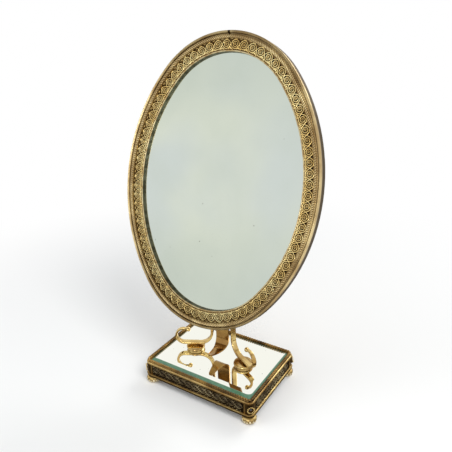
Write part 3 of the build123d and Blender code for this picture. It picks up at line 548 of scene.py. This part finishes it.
class MIRROR_OT_frame_moulding(bpy.types.Operator):
    """Finishes the outer frame in lacquered brass"""
    bl_idname = "mirror.frame_moulding"
    bl_label = "Frame moulding"

    def execute(self, context):
        tones = context.scene.finishes

        def painted_shade_and_seam(shader):
            """Painted shade in the groove, on the outer wall, at the top and bottom ends and on the lower
            flank, and a dark seam at the top.
            """
            x, _, z = shader.axes()
            middle = place_in_head().translation.z
            depth = head_depth(shader)
            groove = depth.step(-2.5 * MM, -3.2 * MM) * 0.35
            outer_wall = depth.step(-3.6 * MM, -6.0 * MM) * 0.92
            ends = (z - middle).size().step(90 * MM, 165 * MM) * 0.4
            seam = x.size().step(2.6 * MM, 1.0 * MM) * (z - middle).step(170 * MM, 171 * MM)
            lower_flank = (middle - z).step(30 * MM, 130 * MM) * depth.step(-0.6 * MM, -2.2 * MM) * 0.6
            return groove.larger(outer_wall).larger(ends).larger(seam).larger(lower_flank)

        brass = aged_brass(
            "gilt_brass", tones.brass_bright, tones.brass_mid, rough=0.3, hollow_shade=0.55, wear=0.2,
            extra=painted_shade_and_seam)
        dress(brass, "rim_frame")
        return {"FINISHED"}


class MIRROR_OT_frame_rope(bpy.types.Operator):
    """Lays the slanting strands of the rope round the frame"""
    bl_idname = "mirror.frame_rope"
    bl_label = "Frame rope"

    def execute(self, context):
        sizes = context.scene.head_sizes
        tones = context.scene.finishes
        gilt = aged_brass(
            "rope_gilt", tones.brass_bright, tones.brass_mid, rough=0.3, hollow=0.9 * MM, hollow_shade=0.75,
            wear=0.2)
        strand = rope_strand(across=2.5 * MM, along=1.5 * MM, height=1.9 * MM, slant=0.7)
        seat = place_in_head() @ shift(0, 0, -sizes.seat_depth)
        places = [seat @ place for place in oval_stations(sizes.rope_inset, sizes.rope_count)]
        rope = repeat("frame_rope_strands", strand, places, gilt, "mirror_head")
        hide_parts("rope_ring")
        return {"FINISHED"}


def running_ring(bm, radius, strand, pitch):
    """One repeat of two crossing strands round a flower, X across the band and Y along it.

    A strand bends round the flower in an arc and runs on straight to the next repeat. One of its ends
    rises and the other sinks, so that the strands weave.
    """
    overlap = 1.06
    weave = strand * 0.3
    flatness = 0.8
    half = pitch / 2
    lean = math.acos(radius / half)
    reach = half * math.sin(lean)
    sweep = 2 * (math.pi / 2 - lean)
    for side in (1, -1):
        first = len(bm.verts)
        start, end = add_ring(bm, radius, strand / 2, segments=10, sides=6, start=-sweep / 2, sweep=sweep)
        for verts, way in ((start, -1), (end, 1)):
            edges = [edge for edge in bm.edges if edge.verts[0] in verts and edge.verts[1] in verts]
            grown = bmesh.ops.extrude_edge_only(bm, edges=edges)
            heading = Vector((-math.cos(lean), way * math.sin(lean), 0)) * reach * overlap
            heading.z = -side * way * weave
            bmesh.ops.translate(bm, vec=heading, verts=vertices_of(grown["geom"]))
        move(bm, first, stretch(side, 1, flatness))


def flower(bm, radius, petals):
    """A small flower: petals round a sunk middle."""
    petal = stretch(radius * 0.42, radius * 0.27, radius * 0.3)
    out = shift(radius * 0.6, 0, 0)
    for index in range(petals):
        add_ball(bm, 1, share_of_turn(index, petals) @ out @ petal)


class MIRROR_OT_pierced_band(bpy.types.Operator):
    """Raises the running rings, flowers, pearls and leaves of the pierced band"""
    bl_idname = "mirror.pierced_band"
    bl_label = "Pierced band"

    def execute(self, context):
        sizes = context.scene.head_sizes
        tones = context.scene.finishes

        def lower_shade(shader):
            """Painted shade: the lower part of the band is a little browner than the upper part."""
            middle = place_in_head().translation.z
            return (middle - shader.axes()[2]).step(50 * MM, 150 * MM) * 0.2

        gilt = aged_brass(
            "filigree_gilt", tones.strand_bright, tones.strand, rough=0.2, hollow=0.6 * MM, hollow_shade=0.3,
            wear=0.08, extra=lower_shade)
        ground = aged_brass(
            "filigree_ground", tones.brass_tan, tones.ground, tones.soot, rough=0.45, hollow=1.8 * MM,
            hollow_shade=0.9, extra=lower_shade)
        dress(ground, "filigree_band")
        stations = oval_stations(sizes.band_inset, sizes.ring_count)
        pitch = (stations[1].translation - stations[0].translation).length
        edge = sizes.band_width / 2
        between = pitch / 2
        pearl = stretch(0.45 * MM, pitch * 0.22, 0.6 * MM)
        pearl_inset = 0.5 * MM
        middle_leaf = stretch(2.1 * MM, 0.95 * MM, 0.7 * MM)
        middle_inset = 1.9 * MM
        side_leaf = stretch(0.8 * MM, 2.1 * MM, 0.7 * MM)
        side_inset = 1.0 * MM
        side_offset = 2.1 * MM
        side_lean = 0.7

        def build(bm):
            """The outer edge has two pearls to a ring, and the inner edge three leaves between rings."""
            running_ring(bm, sizes.ring_radius, sizes.strand_width, pitch)
            add_ring(bm, sizes.ring_radius * 0.6, sizes.strand_width * 0.44, segments=16, sides=5)
            flower(bm, sizes.ring_radius * 0.34, petals=5)
            for along in (0, between):
                add_ball(bm, 1, shift(edge - pearl_inset, along, 0) @ pearl)
            add_ball(bm, 1, shift(middle_inset - edge, between, 0) @ middle_leaf)
            for way in (1, -1):
                place = shift(side_inset - edge, between + way * side_offset, 0)
                add_ball(bm, 1, place @ rotate(way * side_lean) @ side_leaf)

        strand_rise = 0.35 * MM
        face = place_in_head() @ shift(0, 0, strand_rise - sizes.band_depth)
        places = [face @ place for place in stations]
        repeat("filigree_relief", template(build), places, gilt, "mirror_head")
        return {"FINISHED"}


class MIRROR_OT_inner_lip(bpy.types.Operator):
    """Finishes the lip round the glass, whose wall has painted shade and painted reflection"""
    bl_idname = "mirror.inner_lip"
    bl_label = "Inner lip"

    def execute(self, context):
        tones = context.scene.finishes
        shader = Shader("pale_gilt")
        # Painted shade and painted reflection: the wall inside the lip is dark grey-green, with darker
        # spots for the reflected band.
        wall = head_depth(shader).step(-6.3 * MM, -7.2 * MM)
        spots = shader.noise(scale=150).step(0.42, 0.6)
        tone = shader.mix(spots, tones.lip, tones.brass_mid)
        dark = shader.mix(spots, tones.painted_wall_shade, tones.painted_wall_spots)
        tone = shader.mix(wall, tone, dark)
        gilt = shader.finish(Base_Color=tone, Metallic=1.0, Roughness=0.28 + wall * 0.2)
        dress(gilt, "inner_bezel")
        return {"FINISHED"}


class MIRROR_OT_mirror_glass(bpy.types.Operator):
    """Finishes the old mirror glass with its dull patches and specks, and a painted reflection that dims
    towards the top and bottom
    """
    bl_idname = "mirror.mirror_glass"
    bl_label = "Mirror glass"

    def execute(self, context):
        tones = context.scene.finishes
        shader = Shader("mirror_silver")
        _, _, z = shader.axes()
        from_middle = (z - place_in_head().translation.z).size()
        # Painted reflection: this mask dims the silvering towards the top and bottom, as the room it
        # reflects does.
        dull = from_middle.step(20 * MM, 175 * MM) * 0.75
        patches = shader.noise(scale=11, detail=3).step(0.3, 0.75)
        cool = shader.noise(scale=7, rough=0.4).step(0.35, 0.65)
        light = shader.mix(cool, tones.silver, tones.silver_cool)
        tone = shader.mix(patches * 0.4 + dull, light, tones.silver_dim)
        specks = 1 - shader.cells(scale=75).step(0.035, 0.07)
        chosen = shader.noise(scale=22, detail=1).step(0.54, 0.6)
        tone = shader.mix(specks * chosen * 0.6, tone, tones.brass_dark)
        haze = shader.noise(scale=60, detail=4, rough=0.6)
        silver = shader.finish(Base_Color=tone, Metallic=1.0, Roughness=0.05 + haze * 0.08)
        dress(silver, "mirror_glass")
        return {"FINISHED"}


class MIRROR_OT_back(bpy.types.Operator):
    """Finishes the back plate, the board and the bent tabs"""
    bl_idname = "mirror.back"
    bl_label = "Back"

    def execute(self, context):
        tones = context.scene.finishes
        sheet = aged_brass("back_sheet", tones.brass_mid, tones.brass_tan, rough=0.42)
        dress(sheet, "back_plate", "retaining_tabs")
        # Painted shade: the board is darker than its own tone, so that the hollow behind the pierced band
        # reads dark.
        board = fibrous(
            "board", tones.shaded_board_dark, tones.shaded_board_light, scale=900, rough=0.9, relief=0.1 * MM)
        dress(board, "backing_board")
        return {"FINISHED"}


class MIRROR_OT_hinge(bpy.types.Operator):
    """Finishes the tilting hinge behind the head"""
    bl_idname = "mirror.hinge"
    bl_label = "Hinge"

    def execute(self, context):
        tones = context.scene.finishes
        brass = aged_brass("hinge_brass", tones.brass_bright, tones.brass_mid, rough=0.3)
        dress(brass, "hinge_bracket", "bracket_rivets", "hinge_bolt", "thumb_nut")
        leather = fibrous(
            "leather_washer", tones.leather_dark, tones.leather_light, scale=1100, rough=0.75,
            relief=0.05 * MM)
        dress(leather, "friction_washers")
        return {"FINISHED"}


class MIRROR_OT_stand(bpy.types.Operator):
    """Finishes the scroll legs, the strap, the collar, the bosses and the steel fasteners"""
    bl_idname = "mirror.stand"
    bl_label = "Stand"

    def execute(self, context):
        tones = context.scene.finishes
        brass = aged_brass(
            "stand_brass", tones.gold_bright, tones.gold, rough=0.1, hollow=3 * MM, hollow_shade=0.5, wear=0.0,
            dents=0.01)
        dress(brass, "scroll_leg_left", "scroll_leg_right", "scroll_ball_left", "scroll_ball_right")
        dark = aged_brass(
            "boss_brass", tones.gold_bright, tones.gold_brown, rough=0.1, hollow=3 * MM, hollow_shade=0.9,
            wear=0.0, dents=0.01)
        dress(dark, "boss_left", "boss_right", "stem_collar", "collar_rivets")
        tan = aged_brass(
            "strap_brass", tones.gold, tones.gold_brown, rough=0.12, hollow=2 * MM, hollow_shade=0.4, wear=0.0,
            dents=0.02)
        dress(tan, "centre_strap")
        shader = Shader("steel")
        grain = shader.noise(scale=800)
        tone = shader.mix(grain, tones.steel_dark, tones.steel_light)
        steel = shader.finish(Base_Color=tone, Metallic=1.0, Roughness=0.35 + grain * 0.2)
        dress(steel, "leg_studs", "leg_washers", "leg_nuts", "foot_screws")
        return {"FINISHED"}


class MIRROR_OT_base_glass(bpy.types.Operator):
    """Finishes the mirrored plate of the base, green at its bevel with painted light that widens the green
    at the front and right, and the felt under it
    """
    bl_idname = "mirror.base_glass"
    bl_label = "Base glass"

    def execute(self, context):
        sizes = context.scene.base_sizes
        tones = context.scene.finishes
        shader = Shader("plate_glass")
        x, y, _ = shader.axes()
        # Painted light: the green band is widest at the front, narrower at the right and thinnest at the
        # rear and left, as the bevel looks from the front right.
        past_front = y - (GLASS_LOW.y + sizes.front_green_as_seen)
        past_side = (GLASS_HIGH.x - sizes.side_green_as_seen) - x
        past_rear = ((GLASS_HIGH.y - sizes.rear_green_as_seen) - y).smaller(x - (GLASS_LOW.x + sizes.rear_green_as_seen))
        bend = sizes.tint_corner
        short_front = (bend - past_front).larger(0.0)
        short_side = (bend - past_side).larger(0.0)
        past_corner = bend - (short_front * short_front + short_side * short_side).math("SQRT")
        inside = past_corner.smaller(past_rear).step(-0.4 * MM, 0.3 * MM)
        streaks = shader.noise(scale=260, detail=3).step(0.4, 0.62)
        green = shader.mix(streaks * 0.35, tones.plate_edge, tones.plate_streaks)
        tone = shader.mix(inside, green, tones.plate)
        specks = 1 - shader.cells(scale=120).step(0.05, 0.09)
        chosen = shader.noise(scale=48, detail=1).step(0.48, 0.54)
        tone = shader.mix(specks * chosen * 0.7, tone, tones.brass_dark)
        glass = shader.finish(Base_Color=tone, Metallic=inside, Roughness=0.02 + (1 - inside) * 0.1)
        dress(glass, "base_glass")
        felt = fibrous(
            "felt", tones.felt_dark, tones.felt_light, scale=1500, rough=0.95, relief=0.2 * MM)
        dress(felt, "glass_bed")
        return {"FINISHED"}


class MIRROR_OT_base_mouldings(bpy.types.Operator):
    """Finishes the rim and the bottom moulding, and lays the base's rope and its beads"""
    bl_idname = "mirror.base_mouldings"
    bl_label = "Base mouldings"

    def execute(self, context):
        sizes = context.scene.base_sizes
        tones = context.scene.finishes
        brass = aged_brass("base_brass", tones.gold_bright, tones.gold_brown, wear=0.2)
        dress(brass, "base_top_rim")

        def underside_shade(shader):
            """Painted shade: the lower half of the bottom moulding is brown."""
            return shader.axes()[2].step(BASE_LOW.z + 3.8 * MM, BASE_LOW.z + 2.0 * MM) * 0.88

        low = aged_brass("base_low_brass", tones.gold_bright, tones.gold, wear=0.15, extra=underside_shade)
        dress(low, "base_bottom_moulding", "base_floor_plate")
        gilt = aged_brass("base_rope_gilt", tones.gold, tones.antique, hollow_shade=0.5, wear=0.1)
        radius = sizes.rope_radius
        strand = rope_strand(across=radius, along=2.35 * MM, height=radius, slant=0.7, drop=0.7)
        half = (ROPE_HIGH - ROPE_LOW) / 2
        level = shift(0, 0, ROPE_HIGH.z - radius)
        stations = rounded_box_stations(
            half.x - radius, half.y - radius, sizes.corner_radius, sizes.rope_count)
        places = [level @ place for place in stations]
        rope = repeat("base_rope_strands", strand, places, gilt, "stand")
        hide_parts("base_rope")
        bright = aged_brass(
            "bead_gilt", tones.gold_bright, tones.gold, rough=0.3, hollow=1 * MM, hollow_shade=0.6, wear=0.15)
        self.lay_beads("top_rim_beads", "base_top_rim", rise=1.9 * MM, material=bright)
        self.lay_beads("bottom_moulding_beads", "base_bottom_moulding", rise=2.9 * MM, material=bright)
        return {"FINISHED"}

    def lay_beads(self, name, node, rise, material):
        """A row of small beads round a moulding, at a height above the moulding's lower face."""
        sizes = bpy.context.scene.base_sizes
        low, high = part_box(node)
        inset = sizes.bead_radius * 0.4
        stations = rounded_box_stations(
            high.x - inset, high.y - inset, BASE_CORNER - inset, sizes.bead_count)
        level = shift(0, 0, low.z + rise)
        places = [level @ place for place in stations]
        repeat(name, bead(sizes.bead_radius), places, material, "stand")


class MIRROR_OT_gallery(bpy.types.Operator):
    """Raises the browned rings, leaves and beads of the four gallery sides"""
    bl_idname = "mirror.gallery"
    bl_label = "Gallery"

    def execute(self, context):
        sizes = context.scene.base_sizes
        tones = context.scene.finishes
        antique = aged_brass(
            "antique_filigree", tones.lip, tones.antique, tones.soot, rough=0.24, hollow_shade=0.9)
        ground = aged_brass(
            "gallery_ground", tones.brass_dark, tones.soot, tones.soot, rough=0.5, hollow=1.6 * MM,
            hollow_shade=1.0)
        dress(ground, "gallery_front", "gallery_rear", "gallery_left", "gallery_right")
        pitch = sizes.gallery_pitch
        half_height = (GALLERY_HIGH.z - GALLERY_LOW.z) / 2
        bead_inset = 1.3 * MM
        leaf = stretch(1.7 * MM, 0.9 * MM, 0.6 * MM)
        leaf_offset = 4.6 * MM

        def build(bm):
            """Each edge has two beads to a ring, and a leaf between rings."""
            running_ring(bm, radius=4.3 * MM, strand=0.9 * MM, pitch=pitch)
            add_ring(bm, radius=2.3 * MM, tube=0.35 * MM, segments=12, sides=5)
            for side in (1, -1):
                for along in (-0.25 * pitch, 0.25 * pitch):
                    place = shift(side * (half_height - bead_inset), along, 0)
                    add_ball(bm, radius=0.9 * MM, place=place)
                add_ball(bm, 1, shift(side * leaf_offset, pitch / 2, 0) @ leaf)

        relief = template(build)
        middle = (GALLERY_LOW.z + GALLERY_HIGH.z) / 2
        places = []
        for quarter in range(4):
            along_x = quarter % 2 == 0
            reach = -GALLERY_LOW.y if along_x else SIDE_HIGH.x
            run = GALLERY_HIGH.x if along_x else SIDE_HIGH.y
            count = int(2 * run // pitch)
            turn = rotate(quarter * math.pi / 2)
            upright = turn @ shift(0, -reach, middle) @ rotate(math.pi / 2, "X")
            for index in range(count):
                along = shift((index - (count - 1) / 2) * pitch, 0, 0)
                places.append(upright @ along @ rotate(math.pi / 2))
        repeat("gallery_relief", relief, places, antique, "stand")
        return {"FINISHED"}


class MIRROR_OT_corners(bpy.types.Operator):
    """Finishes the corner posts with their rosettes, rings of beads and jewels"""
    bl_idname = "mirror.corners"
    bl_label = "Corners"

    def execute(self, context):
        tones = context.scene.finishes
        sizes = context.scene.base_sizes

        def face(shader):
            """Painted highlight: a post is browned all over but for its two upright edges, which stay
            bright.
            """
            x, y, _ = shader.axes()
            beside_x = (x.size() - (BASE_HIGH.x - sizes.post_width)).size()
            beside_y = (y.size() - (BASE_HIGH.y - sizes.post_width)).size()
            return beside_x.smaller(beside_y).step(0.7 * MM, 1.6 * MM) * 0.85

        brass = aged_brass("post_brass", tones.gold_bright, tones.gold, rough=0.2, extra=face)
        dress(brass, *["corner_post_" + corner for corner in CORNERS])
        antique = aged_brass(
            "rosette_brass", tones.brass_tan, tones.antique, tones.soot, rough=0.3, hollow=1 * MM,
            hollow_shade=0.9)
        dress(antique, "corner_rosettes")
        pale = aged_brass(
            "medallion_brass", tones.strand_bright, tones.strand, rough=0.3, hollow=0.8 * MM, hollow_shade=0.5,
            wear=0.1, metal=0.7)
        places = []
        for diagonal in (45, 135, 225, 315):
            turn = rotate(math.radians(diagonal))
            side = turn @ Vector((1, 0, 0))
            bend = shift(
                math.copysign(BASE_HIGH.x - BASE_CORNER, side.x),
                math.copysign(BASE_HIGH.y - BASE_CORNER, side.y),
                sizes.medallion_height)
            face_on = turn @ shift(sizes.medallion_reach, 0, 0) @ rotate(math.pi / 2, "Y")
            out = shift(sizes.medallion_radius, 0, 0)
            for index in range(sizes.medallion_beads):
                places.append(bend @ face_on @ share_of_turn(index, sizes.medallion_beads) @ out)
        repeat("medallion_beads", bead(sizes.bead_radius), places, pale, "stand")
        shader = Shader("jewel")
        tone = shader.mix(shader.noise(scale=600), tones.jewel_dark, tones.jewel_light)
        jewel = shader.finish(Base_Color=tone, Roughness=0.08, Coat_Weight=1.0)
        dress(jewel, "corner_jewels")
        return {"FINISHED"}


class MIRROR_OT_feet(bpy.types.Operator):
    """Finishes the feet, with a painted highlight on the pale lobes and painted shade between them, and the
    wooden core
    """
    bl_idname = "mirror.feet"
    bl_label = "Feet"

    def execute(self, context):
        sizes = context.scene.base_sizes
        tones = context.scene.finishes
        brass = aged_brass(
            "foot_brass", tones.gold_bright, tones.gold, rough=0.3, hollow=3 * MM, hollow_shade=1.0, wear=0.1,
            metal=0.8)
        dress(brass, *["foot_" + corner for corner in CORNERS])
        # Painted highlight: the lobes are pale and only half metallic, so that they look lit.
        pale = aged_brass(
            "foot_lobe_highlight", tones.lobe_highlight, tones.lobe, tones.brass_tan, rough=0.42,
            hollow=1.0 * MM, hollow_shade=0.6, wear=0.05, metal=0.5)
        shape = stretch(1.5 * MM, 1.9 * MM, 2.6 * MM)
        lobe = template(lambda bm: add_ball(bm, 1, shape, rings=6, segments=8))
        lobe_inset = 1.3 * MM
        places = []
        for corner in CORNERS:
            low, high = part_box("foot_" + corner)
            middle = shift((low.x + high.x) / 2, (low.y + high.y) / 2, sizes.lobe_height)
            out = shift((high.x - low.x) / 2 - lobe_inset, 0, 0)
            for index in range(sizes.lobe_count):
                places.append(middle @ share_of_turn(index, sizes.lobe_count) @ out)
        repeat("foot_lobes", lobe, places, pale, "stand")
        shader = Shader("core_wood")
        rings = shader.node(
            "ShaderNodeTexWave", {"bands_direction": "Y"},
            {"Vector": shader.position(), "Scale": 60, "Distortion": 3.0, "Detail": 2.0})
        wood = shader.finish(
            Base_Color=shader.mix(rings, tones.wood_dark, tones.wood_light), Roughness=0.7)
        dress(wood, "base_core")
        return {"FINISHED"}


class MIRROR_OT_stage(bpy.types.Operator):
    """Sets the floor, the world, the lamps, the cards and the camera"""
    bl_idname = "mirror.stage"
    bl_label = "Stage"

    def execute(self, context):
        scene = context.scene
        scene.view_settings.view_transform = "Standard"
        self.lay_floor(scene)
        self.light_world(scene)
        self.hang_lamps(scene)
        self.set_cards(scene)
        self.set_camera(scene)
        return {"FINISHED"}

    def square(self, scene, name, half, place, material):
        """A flat square at a place, which faces along the place's Z."""
        bm = bmesh.new()
        bmesh.ops.create_grid(bm, x_segments=1, y_segments=1, size=half)
        bmesh.ops.transform(bm, matrix=place, verts=bm.verts)
        mesh = bpy.data.meshes.new(name)
        bm.to_mesh(mesh)
        bm.free()
        mesh.materials.append(material)
        made = bpy.data.objects.new(name, mesh)
        scene.collection.objects.link(made)
        return made

    def lay_floor(self, scene):
        """A pale floor that turns white away from the object, as the camera and reflections see it."""
        studio = scene.studio
        shader = Shader("floor")
        away = shader.node("ShaderNodeVectorMath", {"operation": "LENGTH"}, {0: shader.position()}, "Value")
        pale = shader.node("ShaderNodeBsdfDiffuse", inputs={"Color": studio.floor_tone})
        white = shader.node("ShaderNodeEmission", inputs={"Color": WHITE})
        seen = shader.ray("Is Camera Ray").larger(shader.ray("Is Glossy Ray"))
        fade = away.step(studio.floor_near, studio.floor_far) * seen
        material = shader.give(shader.node("ShaderNodeMixShader", inputs={0: fade, 1: pale, 2: white}))
        floor = self.square(scene, "floor", studio.floor_size / 2, Matrix(), material)

    def light_world(self, scene):
        """White where it is seen or reflected, and a soft light from all sides."""
        shader = Shader("room", "worlds")
        light = {"Color": scene.studio.room_tone, "Strength": scene.studio.room_strength}
        room = shader.node("ShaderNodeBackground", inputs=light)
        white = shader.node("ShaderNodeBackground", inputs={"Color": WHITE})
        seen = shader.ray("Is Camera Ray").larger(shader.ray("Is Glossy Ray"))
        seen = seen.larger(shader.ray("Is Transmission Ray"))
        both = shader.node("ShaderNodeMixShader", inputs={0: seen, 1: room, 2: white})
        scene.world = shader.give(both, "ShaderNodeOutputWorld")

    def hang_lamps(self, scene):
        """The lamps, which point at the middle of the object."""
        aim = Vector((0, 0, scene.studio.lamp_aim))
        for lamp in LAMPS:
            light = bpy.data.lights.new(lamp.name, "AREA")
            light.size = lamp.side
            light.energy = lamp.power
            holder = bpy.data.objects.new(lamp.name, light)
            scene.collection.objects.link(holder)
            holder.location = lamp.place
            holder.visible_glossy = lamp.reflected
            holder.rotation_mode = "QUATERNION"
            holder.rotation_quaternion = (aim - Vector(lamp.place)).to_track_quat("-Z", "Y")

    def set_cards(self, scene):
        """The cards, one of them on the floor. Only polished surfaces show them."""
        for made in CARDS:
            shader = Shader(made.name)
            glow = shader.give(shader.node("ShaderNodeEmission", inputs={"Color": made.tone}))
            way = Vector(made.facing) - Vector(made.place)
            place = Matrix.Translation(made.place) @ way.to_track_quat("Z", "Y").to_matrix().to_4x4()
            card = self.square(scene, made.name, made.half, place, glow)
            card.visible_camera = False
            card.visible_diffuse = False
            card.visible_transmission = False
            card.visible_shadow = False

    def set_camera(self, scene):
        studio = scene.studio
        camera = bpy.data.cameras.new("camera")
        camera.lens = studio.lens
        camera.clip_start = 0.01
        holder = bpy.data.objects.new("camera", camera)
        scene.collection.objects.link(holder)
        turn = rotate(studio.azimuth)
        nod = rotate(math.pi / 2 - studio.elevation, "X")
        spin = rotate(studio.roll)
        holder.matrix_world = Matrix.Translation(studio.eye) @ turn @ nod @ spin
        scene.camera = holder


STEPS = (
    MIRROR_OT_frame_moulding, MIRROR_OT_frame_rope, MIRROR_OT_pierced_band, MIRROR_OT_inner_lip,
    MIRROR_OT_mirror_glass, MIRROR_OT_back, MIRROR_OT_hinge, MIRROR_OT_stand, MIRROR_OT_base_glass,
    MIRROR_OT_base_mouldings, MIRROR_OT_gallery, MIRROR_OT_corners, MIRROR_OT_feet, MIRROR_OT_stage,
)


class MIRROR_PT_panel(bpy.types.Panel):
    """Lists the steps that dress the mirror"""
    bl_idname = "MIRROR_PT_panel"
    bl_label = "Table mirror"
    bl_space_type = "VIEW_3D"
    bl_region_type = "UI"
    bl_category = "Mirror"

    def draw(self, context):
        for step in STEPS:
            self.layout.operator(step.bl_idname)


GROUPS = {"head_sizes": HeadSizes, "base_sizes": BaseSizes, "finishes": Finishes, "studio": Studio}


def register():
    for group in GROUPS.values():
        bpy.utils.register_class(group)
    for name, group in GROUPS.items():
        setattr(bpy.types.Scene, name, PointerProperty(type=group))
    for step in (*STEPS, MIRROR_PT_panel):
        bpy.utils.register_class(step)


def unregister():
    for step in (MIRROR_PT_panel, *reversed(STEPS)):
        bpy.utils.unregister_class(step)
    for name in GROUPS:
        delattr(bpy.types.Scene, name)
    for group in reversed(list(GROUPS.values())):
        bpy.utils.unregister_class(group)


def main():
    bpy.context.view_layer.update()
    register()
    for step in STEPS:
        operator = getattr(bpy.ops.mirror, step.bl_idname.split(".")[1])
        operator()


if __name__ == "__main__":
    main()
